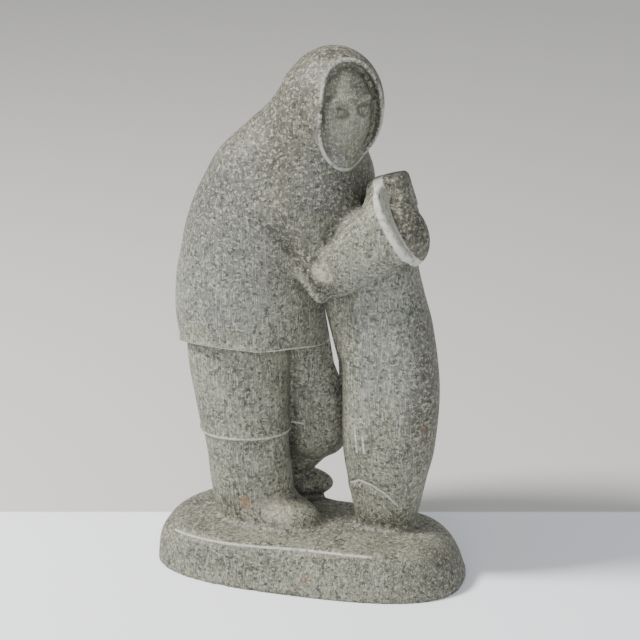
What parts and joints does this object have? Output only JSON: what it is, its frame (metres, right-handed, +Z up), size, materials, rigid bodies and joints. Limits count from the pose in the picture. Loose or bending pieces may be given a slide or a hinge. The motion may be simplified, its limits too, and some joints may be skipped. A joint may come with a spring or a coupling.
{
  "type": "carved stone figure of a hunter with a seal",
  "caption": "Soapstone carving of a hooded hunter standing on an oval base, bent over a seal that he holds up by its tail.",
  "frame": {"origin": "on the flat underside of the base, below the middle of the figure", "axes": "+Z up, +X the way the hunter leans, along the base; -Y the display side"},
  "size_m": [0.1802, 0.1076, 0.3028],
  "materials": {
    "soapstone": null
  },
  "bodies": {
    "root": {"hunter_carving": "soapstone"}
  },
  "joints": []
}
